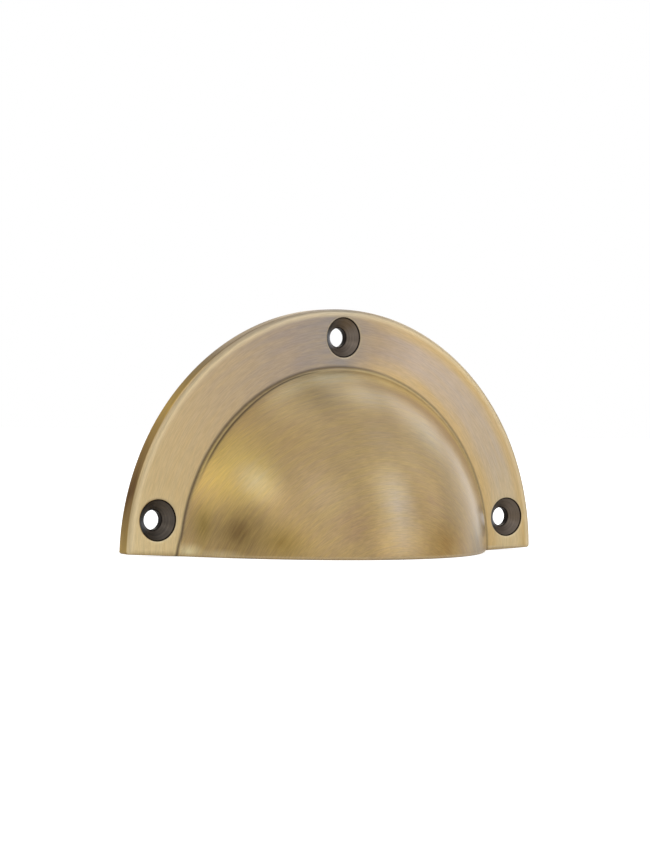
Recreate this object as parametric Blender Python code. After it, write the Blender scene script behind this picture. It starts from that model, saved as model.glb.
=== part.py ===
# Cup pull of cast brass: a half-round plate with a hollow hood, open below and behind.
# Metres. +Z is up, the hood faces -Y, and the plate's flat back is fixed to a drawer.

from math import cos, pi, radians, sin, tan

import bmesh
import bpy
from mathutils import Matrix, Vector

# Driving dimensions
PLATE_RADIUS = 0.051
PLATE_THICKNESS = 0.0035
PLATE_EDGE_RADIUS = 0.0009
FLANGE_WIDTH = 0.0126
HOOD_DEPTH = 0.023
HOOD_WALL = 0.0025
HOOD_FILLET_RADIUS = 0.001
FOOT_EDGE_RADIUS = 0.0006

SCREW_BORE_DIAMETER = 0.004
SCREW_HEAD_DIAMETER = 0.0086
SCREW_LIP_RADIUS = 0.0007
SIDE_SCREW_EDGE_DISTANCE = 0.0063
SIDE_SCREW_HEIGHT = 0.0073
TOP_SCREW_EDGE_DISTANCE = 0.0059

# The hood's section: how far its wall leans in at the plate, and how full its curve is.
# A fullness is a control handle's length as a share of the side that it runs along.
HOOD_LEAN = radians(33.3)
HOOD_SHOULDER_FULLNESS = 0.507
HOOD_CROWN_FULLNESS = 0.496

# The plate's two feet rise a little from the hood to the corners.
FOOT_RISE = radians(2.5)
COUNTERSINK_HALF_ANGLE = radians(45)

# Fineness of the facets
TURN_STEPS = 60
OUTER_CURVE_STEPS = 16
INNER_CURVE_STEPS = 12
FILLET_STEPS = 3
EDGE_STEPS = 3
LIP_STEPS = 3
HOLE_STEPS = 28
CROWN_SPAN = 0.005
CROWN_POINT_SPACING = 0.0008
WELD_DISTANCE = 1e-6
CUTTER_OVERRUN = 0.001
SHARP_ANGLE = radians(35)

BRASS_COLOUR = (0.45, 0.32, 0.15, 1)
BRASS_ROUGHNESS = 0.34

# Worked out from the driving dimensions
HOOD_BASE_RADIUS = PLATE_RADIUS - FLANGE_WIDTH
INNER_BASE_RADIUS = HOOD_BASE_RADIUS - HOOD_WALL / cos(HOOD_LEAN)
INNER_DEPTH = HOOD_DEPTH - HOOD_WALL
BACK_OPENING_RADIUS = INNER_BASE_RADIUS + PLATE_THICKNESS * tan(HOOD_LEAN)
BACK_Y = (PLATE_THICKNESS + HOOD_DEPTH) / 2
SIDE_SCREW_CIRCLE = PLATE_RADIUS - SIDE_SCREW_EDGE_DISTANCE
SIDE_SCREW_X = (SIDE_SCREW_CIRCLE**2 - SIDE_SCREW_HEIGHT**2) ** 0.5
TOP_SCREW_Z = PLATE_RADIUS - TOP_SCREW_EDGE_DISTANCE


def clear_scene():
    for obj in list(bpy.data.objects):
        bpy.data.objects.remove(obj, do_unlink=True)


def brass_material():
    material = bpy.data.materials.new("antique_brass")
    material.use_nodes = True
    shader = material.node_tree.nodes["Principled BSDF"]
    shader.inputs["Base Color"].default_value = BRASS_COLOUR
    shader.inputs["Metallic"].default_value = 1.0
    shader.inputs["Roughness"].default_value = BRASS_ROUGHNESS
    return material


def arc_points(centre, radius, start, end, steps):
    """Points (radius, forward) along an arc, both ends included."""
    points = []
    for i in range(steps + 1):
        angle = start + (end - start) * i / steps
        points.append((centre[0] + radius * cos(angle), centre[1] + radius * sin(angle)))
    return points


def hood_curve(base_radius, depth, steps):
    """The hood's section from its foot on the plate's face to its crown on the axis."""
    shoulder = depth * HOOD_SHOULDER_FULLNESS
    crown = base_radius * HOOD_CROWN_FULLNESS
    front = PLATE_THICKNESS + depth
    foot_handle = (
        base_radius - shoulder * sin(HOOD_LEAN),
        PLATE_THICKNESS + shoulder * cos(HOOD_LEAN),
    )
    controls = ((base_radius, PLATE_THICKNESS), foot_handle, (crown, front), (0.0, front))
    points = []
    for i in range(steps + 1):
        t = i / steps
        weights = ((1 - t) ** 3, 3 * t * (1 - t) ** 2, 3 * t**2 * (1 - t), t**3)
        radius = sum(w * c[0] for w, c in zip(weights, controls))
        forward = sum(w * c[1] for w, c in zip(weights, controls))
        points.append((radius, forward))
    return points


def hood_fillet():
    """The small hollow round where the hood's wall meets the plate's face."""
    turn = pi / 2 - HOOD_LEAN
    tangent = HOOD_FILLET_RADIUS * tan(turn / 2)
    centre = (HOOD_BASE_RADIUS + tangent, PLATE_THICKNESS + HOOD_FILLET_RADIUS)
    return arc_points(centre, HOOD_FILLET_RADIUS, -pi / 2 - turn, -pi / 2, FILLET_STEPS)


def section():
    """The casting's section as (radius, forward of the back), from the outer crown round to the inner one."""
    fillet = hood_fillet()
    outer = [p for p in hood_curve(HOOD_BASE_RADIUS, HOOD_DEPTH, OUTER_CURVE_STEPS) if p[1] > fillet[0][1]]
    inner = hood_curve(INNER_BASE_RADIUS, INNER_DEPTH, INNER_CURVE_STEPS)
    edge_centre = (PLATE_RADIUS - PLATE_EDGE_RADIUS, PLATE_THICKNESS - PLATE_EDGE_RADIUS)
    edge = arc_points(edge_centre, PLATE_EDGE_RADIUS, pi / 2, 0.0, EDGE_STEPS)
    back = [(PLATE_RADIUS, 0.0), (BACK_OPENING_RADIUS, 0.0)]
    return outer[::-1] + fillet + edge + back + inner


def place(radius, forward):
    return Vector((radius, BACK_Y - forward, 0.0))


def add_section(bm, points):
    verts = [bm.verts.new(place(*p)) for p in points]
    edges = [bm.edges.new(pair) for pair in zip(verts, verts[1:])]
    return verts + edges


def close_cut(bm):
    """Closes the flat opening that a cut left."""
    open_edges = [e for e in bm.edges if e.is_boundary]
    bmesh.ops.edgeloop_fill(bm, edges=open_edges)


def cut_below(bm, point, normal):
    """Cuts away what lies below a plane, and returns the points of the cut."""
    geometry = bm.verts[:] + bm.edges[:] + bm.faces[:]
    cut = bmesh.ops.bisect_plane(
        bm, geom=geometry, dist=WELD_DISTANCE, plane_co=point, plane_no=normal, clear_inner=True
    )
    return [g for g in cut["geom_cut"] if isinstance(g, bmesh.types.BMVert)]


def welds_along(row):
    """Pairs the points of a row that crowd together, where the turned facets meet at the crown."""
    row = sorted(row, key=lambda v: v.co.x)
    kept = row[0]
    welds = {}
    for vert in row[1:]:
        if (vert.co - kept.co).length < CROWN_POINT_SPACING:
            welds[vert] = kept
        else:
            kept = vert
    return welds


def trim_foot(bm):
    """Cuts the turned form off level, one edge radius above the base, and slopes the plate's two feet."""
    cut = cut_below(bm, (0, 0, FOOT_EDGE_RADIUS), (0, 0, 1))
    crown = [v for v in cut if abs(v.co.x) < CROWN_SPAN]
    wall_middle = place(0, PLATE_THICKNESS + HOOD_DEPTH - HOOD_WALL / 2).y
    welds = welds_along([v for v in crown if v.co.y < wall_middle])
    welds.update(welds_along([v for v in crown if v.co.y > wall_middle]))
    bmesh.ops.weld_verts(bm, targetmap=welds)
    close_cut(bm)
    for side in (-1, 1):
        start = (side * HOOD_BASE_RADIUS, 0, FOOT_EDGE_RADIUS)
        cut_below(bm, start, (-side * sin(FOOT_RISE), 0, cos(FOOT_RISE)))
        close_cut(bm)


def round_foot(bm):
    """Rolls the trimmed base down to z = 0, so that all its edges are round."""
    bm.normal_update()
    rise = 2 * FOOT_EDGE_RADIUS + FLANGE_WIDTH * tan(FOOT_RISE)
    base = [f for f in bm.faces if f.normal.z < -0.9 and f.calc_center_median().z < rise]
    before = (0.0, 0.0)
    for i in range(1, EDGE_STEPS + 1):
        angle = pi / 2 * i / EDGE_STEPS
        now = (FOOT_EDGE_RADIUS * (1 - cos(angle)), FOOT_EDGE_RADIUS * sin(angle))
        bmesh.ops.inset_region(
            bm,
            faces=base,
            thickness=now[0] - before[0],
            depth=now[1] - before[1],
            use_boundary=True,
            use_even_offset=True,
        )
        before = now


def casting_mesh():
    bm = bmesh.new()
    profile = add_section(bm, section())
    bmesh.ops.spin(bm, geom=profile, axis=(0, -1, 0), cent=(0, 0, 0), angle=pi, steps=TURN_STEPS)
    bmesh.ops.remove_doubles(bm, verts=bm.verts[:], dist=WELD_DISTANCE)
    trim_foot(bm)
    bmesh.ops.recalc_face_normals(bm, faces=bm.faces[:])
    round_foot(bm)
    bmesh.ops.recalc_face_normals(bm, faces=bm.faces[:])
    mesh = bpy.data.meshes.new("cup_pull")
    bm.to_mesh(mesh)
    bm.free()
    return mesh


def screw_cutter_mesh():
    """A bore and a countersink with a rounded lip, about the Y axis, from in front of the plate to behind it."""
    bore = SCREW_BORE_DIAMETER / 2
    head = SCREW_HEAD_DIAMETER / 2
    lean = COUNTERSINK_HALF_ANGLE
    lip = head + SCREW_LIP_RADIUS * tan((pi / 2 - lean) / 2)
    lip_centre = (lip, PLATE_THICKNESS - SCREW_LIP_RADIUS)
    rounding = arc_points(lip_centre, SCREW_LIP_RADIUS, pi / 2, pi - lean, LIP_STEPS)
    neck = PLATE_THICKNESS - (head - bore) / tan(lean)
    front = PLATE_THICKNESS + CUTTER_OVERRUN
    points = [(0.0, front), (lip, front)] + rounding
    points += [(bore, neck), (bore, -CUTTER_OVERRUN), (0.0, -CUTTER_OVERRUN)]
    bm = bmesh.new()
    profile = add_section(bm, points)
    bmesh.ops.spin(
        bm, geom=profile, axis=(0, 1, 0), cent=(0, 0, 0), angle=2 * pi, steps=HOLE_STEPS, use_merge=True
    )
    bmesh.ops.remove_doubles(bm, verts=bm.verts[:], dist=WELD_DISTANCE)
    bmesh.ops.recalc_face_normals(bm, faces=bm.faces[:])
    mesh = bpy.data.meshes.new("screw_cutter")
    bm.to_mesh(mesh)
    bm.free()
    return mesh


def add_object(name, mesh):
    obj = bpy.data.objects.new(name, mesh)
    bpy.context.scene.collection.objects.link(obj)
    return obj


def cut_screw_hole(pull, cutter_mesh, name, x, z):
    cutter = add_object(name + "_cutter", cutter_mesh)
    cutter.matrix_world = Matrix.Translation((x, 0, z))
    cutter.hide_render = True
    cutter.display_type = "WIRE"
    cut = pull.modifiers.new(name, "BOOLEAN")
    cut.operation = "DIFFERENCE"
    cut.solver = "EXACT"
    cut.object = cutter


def build():
    clear_scene()
    mesh = casting_mesh()
    mesh.shade_smooth()
    mesh.set_sharp_from_angle(angle=SHARP_ANGLE)
    mesh.materials.append(brass_material())
    pull = add_object("cup_pull", mesh)
    cutter_mesh = screw_cutter_mesh()
    cut_screw_hole(pull, cutter_mesh, "left_screw_hole", -SIDE_SCREW_X, SIDE_SCREW_HEIGHT)
    cut_screw_hole(pull, cutter_mesh, "right_screw_hole", SIDE_SCREW_X, SIDE_SCREW_HEIGHT)
    cut_screw_hole(pull, cutter_mesh, "top_screw_hole", 0.0, TOP_SCREW_Z)


build()
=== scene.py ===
# %% [markdown]
# An antique brass cup pull
#
# A cup pull is a drawer handle: a half-round plate that is screwed to the drawer front, with
# a hollow hood standing out of it. The fingers reach up into the hood from below. This one is
# a single brass casting, brushed with fine hairlines and then darkened, so the brass shines
# through a thin brown film.
#
# The lesson builds the casting as a fine mesh, gives it a brushed and aged finish made of
# nodes only, and lights it as a small product on a pale table.

# %% Load the frame
from math import atan2, cos, hypot, pi, radians, sin, tan

import bmesh
import bpy
from mathutils import Matrix, Vector


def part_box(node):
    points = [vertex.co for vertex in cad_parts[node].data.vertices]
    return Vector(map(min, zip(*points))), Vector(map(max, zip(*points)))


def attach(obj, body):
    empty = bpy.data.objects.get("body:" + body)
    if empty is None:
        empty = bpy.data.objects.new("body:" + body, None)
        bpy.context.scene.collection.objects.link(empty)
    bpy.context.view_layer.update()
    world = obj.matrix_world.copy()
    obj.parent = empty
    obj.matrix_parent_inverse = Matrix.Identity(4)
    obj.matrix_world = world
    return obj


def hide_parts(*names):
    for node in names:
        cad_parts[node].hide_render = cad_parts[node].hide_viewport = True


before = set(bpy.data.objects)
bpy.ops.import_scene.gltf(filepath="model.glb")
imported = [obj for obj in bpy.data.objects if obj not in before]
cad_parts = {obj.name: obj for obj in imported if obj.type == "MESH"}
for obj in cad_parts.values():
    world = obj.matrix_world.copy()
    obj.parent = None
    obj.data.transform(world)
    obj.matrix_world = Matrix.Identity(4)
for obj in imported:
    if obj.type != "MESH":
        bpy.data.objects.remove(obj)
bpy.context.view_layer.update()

LOW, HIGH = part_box("cup_pull")
print("frame box in mm:", [round(1000 * side, 2) for side in HIGH - LOW])

# %% [markdown]
# The sizes
#
# The outer sizes are read from the frame, so the fine casting fills the same box as the
# engineering model. The flange, walls and screw holes are real sizes of the object. Every
# length is in metres, and `MM` keeps the numbers readable.

# %% The sizes of the casting
MM = 0.001
PLATE_RADIUS = HIGH.x
BACK_Y = HIGH.y
HOOD_FRONT = HIGH.y - LOW.y
PLATE_THICKNESS = 3.5 * MM
FLANGE_WIDTH = 12.6 * MM
HOOD_WALL = 2.5 * MM
HOOD_LEAN = radians(33.3)
HOOD_BASE_RADIUS = PLATE_RADIUS - FLANGE_WIDTH
HOOD_DEPTH = HOOD_FRONT - PLATE_THICKNESS
INNER_BASE_RADIUS = HOOD_BASE_RADIUS - HOOD_WALL / cos(HOOD_LEAN)
INNER_DEPTH = HOOD_DEPTH - HOOD_WALL
OPENING_RADIUS = INNER_BASE_RADIUS + PLATE_THICKNESS * tan(HOOD_LEAN)

PLATE_EDGE_RADIUS = 0.9 * MM
BACK_EDGE_RADIUS = 0.2 * MM
HOOD_FILLET_RADIUS = 1.0 * MM
FOOT_EDGE_RADIUS = 0.6 * MM
FOOT_RISE = radians(2.5)

BORE_RADIUS = 2.0 * MM
COUNTERSINK_RADIUS = 4.3 * MM
LIP_RADIUS = 0.7 * MM
COUNTERSINK_LEAN = radians(45)
SIDE_SCREW_X = 44.1 * MM
SIDE_SCREW_Z = 7.3 * MM
TOP_SCREW_Z = 45.1 * MM
print(f"plate radius {PLATE_RADIUS / MM:.2f} mm, hood stands out {HOOD_DEPTH / MM:.2f} mm")

# %% [markdown]
# The section
#
# Cut through the middle, the casting shows one outline: over the crown of the hood, down its
# leaning wall, round a small hollow fillet onto the plate, over the plate's rounded edge,
# along the flat back, and up the inside of the hood. The hood's line isn't an arc of a
# circle: it is steep at the plate and nearly flat at the crown, so a Bezier curve with two
# handles draws it well. Everything round is an arc with enough points to shade smoothly.

# %% Arcs and the hood's curve
CURVE_STEPS = 44
ARC_STEPS = 7
SHOULDER_FULLNESS = 0.507
CROWN_FULLNESS = 0.496


def arc(centre, radius, start, end, steps=ARC_STEPS):
    turn = (end - start) / steps
    angles = [start + turn * i for i in range(steps + 1)]
    return [(centre[0] + radius * cos(a), centre[1] + radius * sin(a)) for a in angles]


def hood_line(base, depth, steps=CURVE_STEPS):
    """The hood's line, from its foot on the plate to its crown on the axis."""
    shoulder = depth * SHOULDER_FULLNESS
    front = PLATE_THICKNESS + depth
    handles = (
        Vector((base, PLATE_THICKNESS)),
        Vector((base - shoulder * sin(HOOD_LEAN), PLATE_THICKNESS + shoulder * cos(HOOD_LEAN))),
        Vector((base * CROWN_FULLNESS, front)),
        Vector((0.0, front)),
    )
    line = []
    for i in range(steps + 1):
        t = i / steps
        weights = ((1 - t) ** 3, 3 * t * (1 - t) ** 2, 3 * t**2 * (1 - t), t**3)
        point = sum((w * h for w, h in zip(weights, handles)), Vector((0, 0)))
        line.append((point.x, point.y))
    return line


# %% The whole section as (radius, forward of the back)
def casting_section():
    turn = pi / 2 - HOOD_LEAN
    foot = HOOD_BASE_RADIUS + HOOD_FILLET_RADIUS * tan(turn / 2)
    fillet_centre = (foot, PLATE_THICKNESS + HOOD_FILLET_RADIUS)
    fillet = arc(fillet_centre, HOOD_FILLET_RADIUS, -pi / 2 - turn, -pi / 2)
    outer = [p for p in hood_line(HOOD_BASE_RADIUS, HOOD_DEPTH) if p[1] > fillet[0][1]]
    front_edge = arc(
        (PLATE_RADIUS - PLATE_EDGE_RADIUS, PLATE_THICKNESS - PLATE_EDGE_RADIUS),
        PLATE_EDGE_RADIUS, pi / 2, 0.0,
    )
    back = [(PLATE_RADIUS, 0.0), (OPENING_RADIUS, 0.0)]
    inner = hood_line(INNER_BASE_RADIUS, INNER_DEPTH)
    return outer[::-1] + fillet + front_edge + back + inner


section = casting_section()
print(len(section), "points in the section")

# %% [markdown]
# Turning the casting
#
# The real pattern was turned on a lathe and cut in half, and the mesh is made the same way.
# The section is spun half a turn about the axis that points forward out of the plate. A plane
# then cuts the open side off level, a little above the table, and two more planes give the
# feet of the plate their slight rise towards the corners.

# %% Helpers for placing, cutting and closing
TURN_STEPS = 200
WELD = 1e-6
CROWN_SPAN = 5.0 * MM
CROWN_SPACING = 0.35 * MM


def place(radius, forward):
    return Vector((radius, BACK_Y - forward, 0.0))


def draw(bm, points):
    verts = [bm.verts.new(place(*p)) for p in points]
    edges = [bm.edges.new(pair) for pair in zip(verts, verts[1:])]
    return verts + edges


def cut_below(bm, point, normal):
    everything = bm.verts[:] + bm.edges[:] + bm.faces[:]
    cut = bmesh.ops.bisect_plane(
        bm, geom=everything, dist=WELD, plane_co=point, plane_no=normal, clear_inner=True
    )
    return [g for g in cut["geom_cut"] if isinstance(g, bmesh.types.BMVert)]


def close_cut(bm):
    bmesh.ops.edgeloop_fill(bm, edges=[e for e in bm.edges if e.is_boundary])


# %% The turned facets crowd together at the crown, so close neighbours there are welded
def welds_along(row):
    row = sorted(row, key=lambda v: v.co.x)
    kept = row[0]
    welds = {}
    for vert in row[1:]:
        if (vert.co - kept.co).length < CROWN_SPACING:
            welds[vert] = kept
        else:
            kept = vert
    return welds


# %% Spin the section and trim the foot
def trim_foot(bm):
    cut = cut_below(bm, (0, 0, FOOT_EDGE_RADIUS), (0, 0, 1))
    crown = [v for v in cut if abs(v.co.x) < CROWN_SPAN]
    wall_middle = place(0, HOOD_FRONT - HOOD_WALL / 2).y
    welds = welds_along([v for v in crown if v.co.y < wall_middle])
    welds.update(welds_along([v for v in crown if v.co.y > wall_middle]))
    bmesh.ops.weld_verts(bm, targetmap=welds)
    close_cut(bm)
    for side in (-1, 1):
        start = (side * HOOD_BASE_RADIUS, 0, FOOT_EDGE_RADIUS)
        cut_below(bm, start, (-side * sin(FOOT_RISE), 0, cos(FOOT_RISE)))
        close_cut(bm)


# %% [markdown]
# The sawn foot of a real pull is smoothed by hand, which leaves all its edges softly round.
# Insetting the flat foot in small steps, each a little further in and a little further down
# along a quarter circle, rolls the same soft edge round the whole outline at once.

# %% Round the foot
FOOT_STEPS = 5
FACING_DOWN = -0.9


def round_foot(bm):
    bm.normal_update()
    reach = 2 * FOOT_EDGE_RADIUS + FLANGE_WIDTH * tan(FOOT_RISE)
    foot = [f for f in bm.faces if f.normal.z < FACING_DOWN and f.calc_center_median().z < reach]
    before = (0.0, 0.0)
    for i in range(1, FOOT_STEPS + 1):
        angle = pi / 2 * i / FOOT_STEPS
        now = (FOOT_EDGE_RADIUS * (1 - cos(angle)), FOOT_EDGE_RADIUS * sin(angle))
        bmesh.ops.inset_region(
            bm, faces=foot, thickness=now[0] - before[0], depth=now[1] - before[1],
            use_boundary=True, use_even_offset=True,
        )
        before = now


# %% [markdown]
# The back of the plate lies against the drawer. Its edges aren't rounded on purpose, only
# tumbled, so they get a very small bevel. The bevel takes every edge of the back plane that
# is still square.

# %% Break the back edges
SQUARE = radians(50)
BACK_EDGE_STEPS = 2


def on_back(edge):
    return all(abs(vert.co.y - BACK_Y) < WELD for vert in edge.verts)


def break_back_edges(bm):
    bm.normal_update()
    square = [
        e for e in bm.edges if e.is_manifold and e.calc_face_angle() > SQUARE and on_back(e)
    ]
    bmesh.ops.bevel(
        bm, geom=square, offset=BACK_EDGE_RADIUS, segments=BACK_EDGE_STEPS,
        affect="EDGES", profile=0.5, material=-1, clamp_overlap=True,
    )


# %% Make the casting without its holes
def turn_casting():
    bm = bmesh.new()
    profile = draw(bm, section)
    bmesh.ops.spin(bm, geom=profile, axis=(0, -1, 0), cent=(0, 0, 0), angle=pi, steps=TURN_STEPS)
    bmesh.ops.remove_doubles(bm, verts=bm.verts[:], dist=WELD)
    trim_foot(bm)
    bmesh.ops.recalc_face_normals(bm, faces=bm.faces[:])
    round_foot(bm)
    break_back_edges(bm)
    bmesh.ops.recalc_face_normals(bm, faces=bm.faces[:])
    mesh = bpy.data.meshes.new("casting")
    bm.to_mesh(mesh)
    bm.free()
    return mesh


pull = bpy.data.objects.new("brass_casting", turn_casting())
bpy.context.scene.collection.objects.link(pull)
print("turned casting:", len(pull.data.polygons), "faces")

# %% [markdown]
# The screw holes
#
# Three countersunk holes take the screws. A drill with a 90 degree countersink cuts them, and
# polishing then softens the lip. The cutter here is turned from the same outline, bore, cone
# and rounded lip in one, and a Boolean takes it out of the plate. The cutters are thrown away
# once the result is a mesh of its own. The casting is then shaded smooth, apart from its
# sharp edges, and weighted normals keep the flat faces flat.

# %% The cutter
HOLE_STEPS = 72
OVERRUN = 1.0 * MM


def hole_cutter():
    lip = COUNTERSINK_RADIUS + LIP_RADIUS * tan((pi / 2 - COUNTERSINK_LEAN) / 2)
    rounding = arc(
        (lip, PLATE_THICKNESS - LIP_RADIUS), LIP_RADIUS, pi / 2, pi - COUNTERSINK_LEAN
    )
    neck = PLATE_THICKNESS - (COUNTERSINK_RADIUS - BORE_RADIUS) / tan(COUNTERSINK_LEAN)
    front = PLATE_THICKNESS + OVERRUN
    outline = [(0.0, front), (lip, front)] + rounding
    outline += [(BORE_RADIUS, neck), (BORE_RADIUS, -OVERRUN), (0.0, -OVERRUN)]
    bm = bmesh.new()
    profile = draw(bm, outline)
    bmesh.ops.spin(
        bm, geom=profile, axis=(0, 1, 0), cent=(0, 0, 0),
        angle=2 * pi, steps=HOLE_STEPS, use_merge=True,
    )
    bmesh.ops.remove_doubles(bm, verts=bm.verts[:], dist=WELD)
    bmesh.ops.recalc_face_normals(bm, faces=bm.faces[:])
    mesh = bpy.data.meshes.new("hole_cutter")
    bm.to_mesh(mesh)
    bm.free()
    return mesh


# %% Cut the three holes and keep the result
SHARP_EDGE = radians(40)
SCREWS = {
    "left": Vector((-SIDE_SCREW_X, 0, SIDE_SCREW_Z)),
    "right": Vector((SIDE_SCREW_X, 0, SIDE_SCREW_Z)),
    "top_reflection": Vector((0, 0, TOP_SCREW_Z)),
}


def cut_holes(obj):
    cutter_mesh = hole_cutter()
    cutters = []
    for name, centre in SCREWS.items():
        cutter = bpy.data.objects.new(name + "_cutter", cutter_mesh)
        bpy.context.scene.collection.objects.link(cutter)
        cutter.location = centre
        cutters.append(cutter)
        cut = obj.modifiers.new(name, "BOOLEAN")
        cut.operation = "DIFFERENCE"
        cut.solver = "EXACT"
        cut.object = cutter
    depsgraph = bpy.context.evaluated_depsgraph_get()
    mesh = bpy.data.meshes.new_from_object(obj.evaluated_get(depsgraph))
    obj.modifiers.clear()
    obj.data = mesh
    for cutter in cutters:
        bpy.data.objects.remove(cutter)
    bpy.data.meshes.remove(cutter_mesh)


cut_holes(pull)
pull.data.shade_smooth()
pull.data.set_sharp_from_angle(angle=SHARP_EDGE)
weigh = pull.modifiers.new("flat_faces_keep_flat", "WEIGHTED_NORMAL")
weigh.keep_sharp = True
print("casting with holes:", len(pull.data.polygons), "faces")

# %% [markdown]
# Surfaces and the run of the brushing
#
# The finish differs from place to place, so every face is sorted by where it lies: the plate,
# the hood, the screw holes, and the inside and back that nobody polishes. The hairlines run
# round the plate like grooves on a record. On the hood they run across it in tilted rings, the
# way a hand sweeps a pad round a dome. A UV map written here holds that run: U goes along the
# hairlines and V goes across them, so grain and shine can both follow it.

# %% Sort the faces by the finish that they get
FINISHES = ("plate", "hood", "screw_hole", "inside")
UV_LENGTH = 100 * MM
FILLET_MIDDLE = HOOD_BASE_RADIUS + 0.5 * HOOD_FILLET_RADIUS
DARK_RADIUS = COUNTERSINK_RADIUS - 0.1 * MM


def screw_near(point):
    for centre in SCREWS.values():
        if hypot(point.x - centre.x, point.z - centre.z) < DARK_RADIUS:
            return centre
    return None


def finish_of(face, corners):
    middle = face.center
    small = all((corner - middle).length < COUNTERSINK_RADIUS for corner in corners)
    if small and screw_near(middle) is not None and BACK_Y - middle.y > WELD:
        return "screw_hole"
    radius = hypot(middle.x, middle.z)
    outwards = (face.normal.x * middle.x + face.normal.z * middle.z) / radius - face.normal.y
    if outwards < 0:
        return "inside"
    return "hood" if radius < FILLET_MIDDLE else "plate"


# %% Where a point lies along and across the hairlines, in metres
HOOD_SWEEP = radians(28)
HOOD_STRETCH = HOOD_BASE_RADIUS / HOOD_DEPTH


def on_plate(point, face_middle):
    radius = hypot(point.x, point.z)
    side_wall = max(PLATE_THICKNESS - (BACK_Y - point.y), 0)
    return atan2(max(point.z, 0), point.x) * PLATE_RADIUS, radius + side_wall


def on_hood(point, face_middle):
    """The hood is stretched to a round dome, and read round an axis that dips in front."""
    forward = (BACK_Y - PLATE_THICKNESS - point.y) * HOOD_STRETCH
    up = point.z * cos(HOOD_SWEEP) + forward * sin(HOOD_SWEEP)
    ahead = forward * cos(HOOD_SWEEP) - point.z * sin(HOOD_SWEEP)
    round_axis = atan2(max(up, 0), point.x)
    from_axis = atan2(hypot(point.x, up), ahead)
    return round_axis * HOOD_BASE_RADIUS, from_axis * HOOD_BASE_RADIUS


def in_screw_hole(point, face_middle):
    centre = screw_near(face_middle)
    middle_angle = atan2(face_middle.z - centre.z, face_middle.x - centre.x)
    angle = atan2(point.z - centre.z, point.x - centre.x)
    turns = round((middle_angle - angle) / (2 * pi))
    return (angle + 2 * pi * turns) * COUNTERSINK_RADIUS, point.y


RUN = {"plate": on_plate, "hood": on_hood, "screw_hole": in_screw_hole, "inside": on_plate}


# %% Write the UV map and the slot of each face
def lay_out_finishes(mesh):
    uv = mesh.uv_layers.new(name="brush")
    counts = dict.fromkeys(FINISHES, 0)
    for face in mesh.polygons:
        finish = finish_of(face, [mesh.vertices[i].co for i in face.vertices])
        counts[finish] += 1
        face.material_index = FINISHES.index(finish)
        for corner in face.loop_indices:
            point = mesh.vertices[mesh.loops[corner].vertex_index].co
            along, across = RUN[finish](point, face.center)
            uv.data[corner].uv = (along / UV_LENGTH, across / UV_LENGTH)
    return counts


print("faces by finish:", lay_out_finishes(pull.data))

# %% [markdown]
# The camera
#
# The photograph looks at the pull from its left, almost level with it, through a long lens. A
# camera can be dragged into place by eye, but numbers can be matched: these were found by
# laying the plate's outline, the foot and the three holes over the photograph. The roll is
# the photograph's slight tilt, and the aim sets where the pull lies in the picture.

# %% The camera
CAMERA_AZIMUTH = radians(34.47)
CAMERA_ELEVATION = radians(0.41)
CAMERA_ROLL = radians(1.04)
CAMERA_DISTANCE = 524.6 * MM
CAMERA_LENS = 103.66
SENSOR_HEIGHT = 36.0
AIM_RIGHT = -1.637 * MM
AIM_UP = -0.598 * MM


def looking_along(direction):
    roll = Matrix.Rotation(CAMERA_ROLL, 4, "Z").to_quaternion()
    return direction.to_track_quat("-Z", "Y") @ roll


def make_camera():
    middle = Vector((0, BACK_Y, PLATE_RADIUS / 2))
    towards = Vector(
        (
            -sin(CAMERA_AZIMUTH) * cos(CAMERA_ELEVATION),
            -cos(CAMERA_AZIMUTH) * cos(CAMERA_ELEVATION),
            sin(CAMERA_ELEVATION),
        )
    )
    position = middle + towards * CAMERA_DISTANCE
    aim = middle + looking_along(-towards) @ Vector((AIM_RIGHT, AIM_UP, 0))
    camera = bpy.data.objects.new("camera", bpy.data.cameras.new("camera"))
    bpy.context.scene.collection.objects.link(camera)
    camera.matrix_world = Matrix.LocRotScale(position, looking_along(aim - position), None)
    camera.data.sensor_fit = "VERTICAL"
    camera.data.sensor_height = SENSOR_HEIGHT
    camera.data.lens = CAMERA_LENS
    bpy.context.scene.camera = camera
    return camera


camera = make_camera()
print("camera in mm:", [round(side / MM, 1) for side in camera.location])

# %% [markdown]
# The finish
#
# Antique brass is yellow metal under a thin brown film. The maker darkens the whole casting
# and then brushes it, so the film stays in the hollows and goes from the edges. Seen closely
# it is three things at once: hairlines, a film that is uneven in colour, and rubbed edges.
# Node groups make them here, because the plate, the hood and the holes all use the same
# ones, each with its own values. Some colours of the film and of the rubbed places are also
# painted shade, highlights and reflections, as the cells below say.

# %% Helpers for nodes
def feed(tree, socket, value):
    if isinstance(value, bpy.types.NodeSocket):
        tree.links.new(value, socket)
    else:
        socket.default_value = value


def add_node(tree, kind, settings=(), **inputs):
    node = tree.nodes.new(kind)
    for name, value in dict(settings).items():
        setattr(node, name, value)
    for name, value in inputs.items():
        feed(tree, node.inputs[name], value)
    return node


def maths(tree, operation, *values):
    node = add_node(tree, "ShaderNodeMath", {"operation": operation})
    for socket, value in zip(node.inputs, values):
        feed(tree, socket, value)
    return node.outputs[0]


def fade(tree, value, start, end, low=0.0, high=1.0):
    """Goes smoothly from low to high while the value goes from start to end."""
    node = add_node(tree, "ShaderNodeMapRange", {"interpolation_type": "SMOOTHSTEP"}, Value=value)
    for name, number in (("From Min", start), ("From Max", end), ("To Min", low), ("To Max", high)):
        feed(tree, node.inputs[name], number)
    return node.outputs["Result"]


def blend(tree, amount, under, over, mode="MIX"):
    node = add_node(tree, "ShaderNodeMix", {"data_type": "RGBA", "blend_type": mode})
    for index, value in ((0, amount), (6, under), (7, over)):
        feed(tree, node.inputs[index], value)
    return node.outputs[2]


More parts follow.
